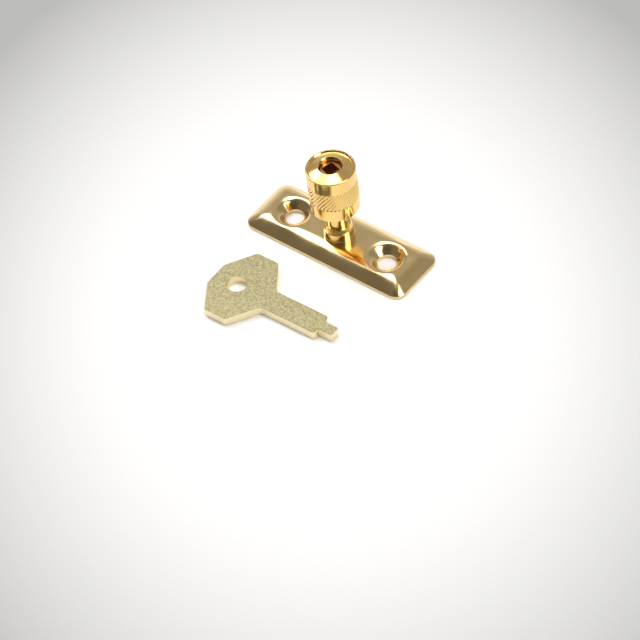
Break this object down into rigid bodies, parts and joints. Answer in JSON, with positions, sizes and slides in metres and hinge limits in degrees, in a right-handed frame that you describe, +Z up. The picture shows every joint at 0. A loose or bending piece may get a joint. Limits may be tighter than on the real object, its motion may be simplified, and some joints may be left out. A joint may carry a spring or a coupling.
{
  "type": "locking casement stay pin",
  "caption": "Brass locking casement stay pin: a pressed plate with countersunk holes carries a pillar and a knurled screw-down cap, locked by a socket screw that its flat key turns.",
  "frame": {"origin": "centre of the plate on the surface it is screwed to", "axes": "+X along the plate through both screw holes, +Z up the pillar, the key on the -Y side"},
  "size_m": [0.048, 0.0451, 0.0268],
  "materials": {
    "plate_brass": "polished pressed brass sheet",
    "pillar_brass": "polished turned brass",
    "cap_brass": "polished turned brass with a diagonal knurl",
    "screw_brass": "turned brass",
    "key_brass": "unpolished stamped brass, satin"
  },
  "bodies": {
    "base": {"base_plate": "plate_brass", "pillar": "pillar_brass", "key": "key_brass"},
    "screw": {"lock_screw": "screw_brass"},
    "cap": {"knurled_cap": "cap_brass"}
  },
  "joints": [
    {"name": "cap_lift", "type": "slide", "parent": "base", "child": "screw", "axis": [0, 0, 1], "range_m": [0, 0.006]},
    {"name": "cap_turn", "type": "hinge", "parent": "screw", "child": "cap", "pos_m": [0, 0, 0.02], "axis": [0, 0, 1], "range_deg": [0, 2160]}
  ],
  "couplings": [
    {"joint": "cap_lift", "follows": "cap_turn", "m_per_rad": 0.00015915}
  ]
}
